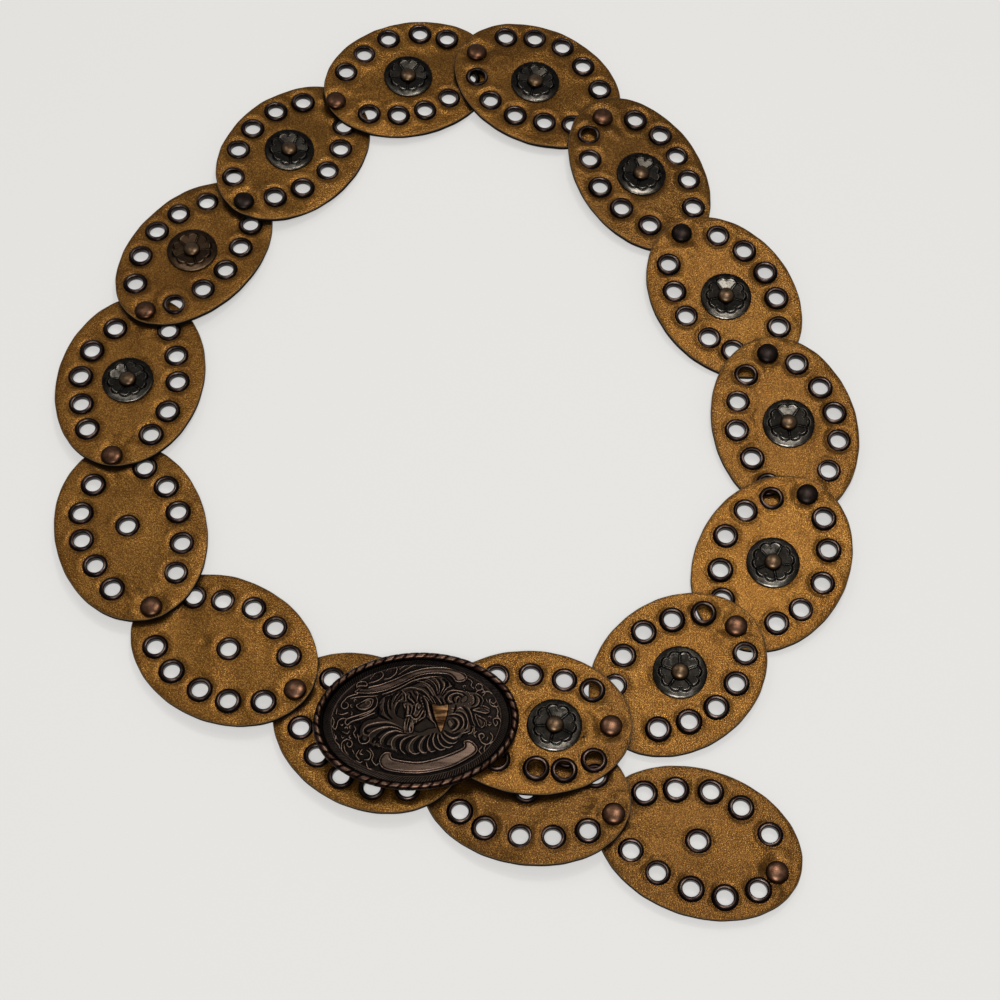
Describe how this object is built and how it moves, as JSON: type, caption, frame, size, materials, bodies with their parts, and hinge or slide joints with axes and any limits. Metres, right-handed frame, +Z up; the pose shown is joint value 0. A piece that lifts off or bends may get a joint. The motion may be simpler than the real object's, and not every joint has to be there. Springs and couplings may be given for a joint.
{
  "type": "concho belt",
  "caption": "Hip belt of riveted oval leather discs set with eyelets and flower conchos, closed by an oval relief buckle with a hook, lying flat in a loop with its free end out.",
  "frame": {"origin": "middle of the belt's box in plan, on the surface that the belt lies on", "axes": "+Z up from that surface, +Y from the buckle across the loop to its far side, +X to the right as the buckle is read"},
  "size_m": [0.3672, 0.4538, 0.018],
  "materials": {
    "leather": "metallic bronze finish over a fine pebbled grain, black cut edges",
    "copper": "antique copper plate, smooth dome",
    "gunmetal": "dark antique gunmetal plate, polished on the high spots",
    "stud": "antique brass plate, smooth dome",
    "buckle": "antique copper plate with blackened ground"
  },
  "bodies": {
    "root": {"disc_01": "leather", "disc_02": "leather", "disc_03": "leather", "disc_04": "leather", "disc_05": "leather", "disc_06": "leather", "disc_07": "leather", "disc_08": "leather", "disc_09": "leather", "disc_10": "leather", "disc_11": "leather", "disc_12": "leather", "disc_13": "leather", "disc_14": "leather", "disc_15": "leather", "disc_16": "leather", "rivet_01": "copper", "rivet_02": "copper", "rivet_03": "copper", "rivet_04": "copper", "rivet_05": "copper", "rivet_06": "copper", "rivet_07": "copper", "rivet_08": "copper", "rivet_09": "copper", "rivet_10": "copper", "rivet_11": "copper", "rivet_12": "copper", "rivet_13": "copper", "rivet_14": "copper", "rivet_15": "copper", "rivet_16": "copper", "concho_01": "gunmetal", "concho_stud_01": "stud", "concho_02": "gunmetal", "concho_stud_02": "stud", "concho_03": "gunmetal", "concho_stud_03": "stud", "concho_04": "gunmetal", "concho_stud_04": "stud", "concho_05": "gunmetal", "concho_stud_05": "stud", "concho_06": "gunmetal", "concho_stud_06": "stud", "concho_07": "gunmetal", "concho_stud_07": "stud", "concho_08": "gunmetal", "concho_stud_08": "stud", "concho_09": "gunmetal", "concho_stud_09": "stud", "concho_10": "gunmetal", "concho_stud_10": "stud", "concho_11": "gunmetal", "concho_stud_11": "stud", "buckle": "buckle", "buckle_rivet": "copper"}
  },
  "joints": []
}
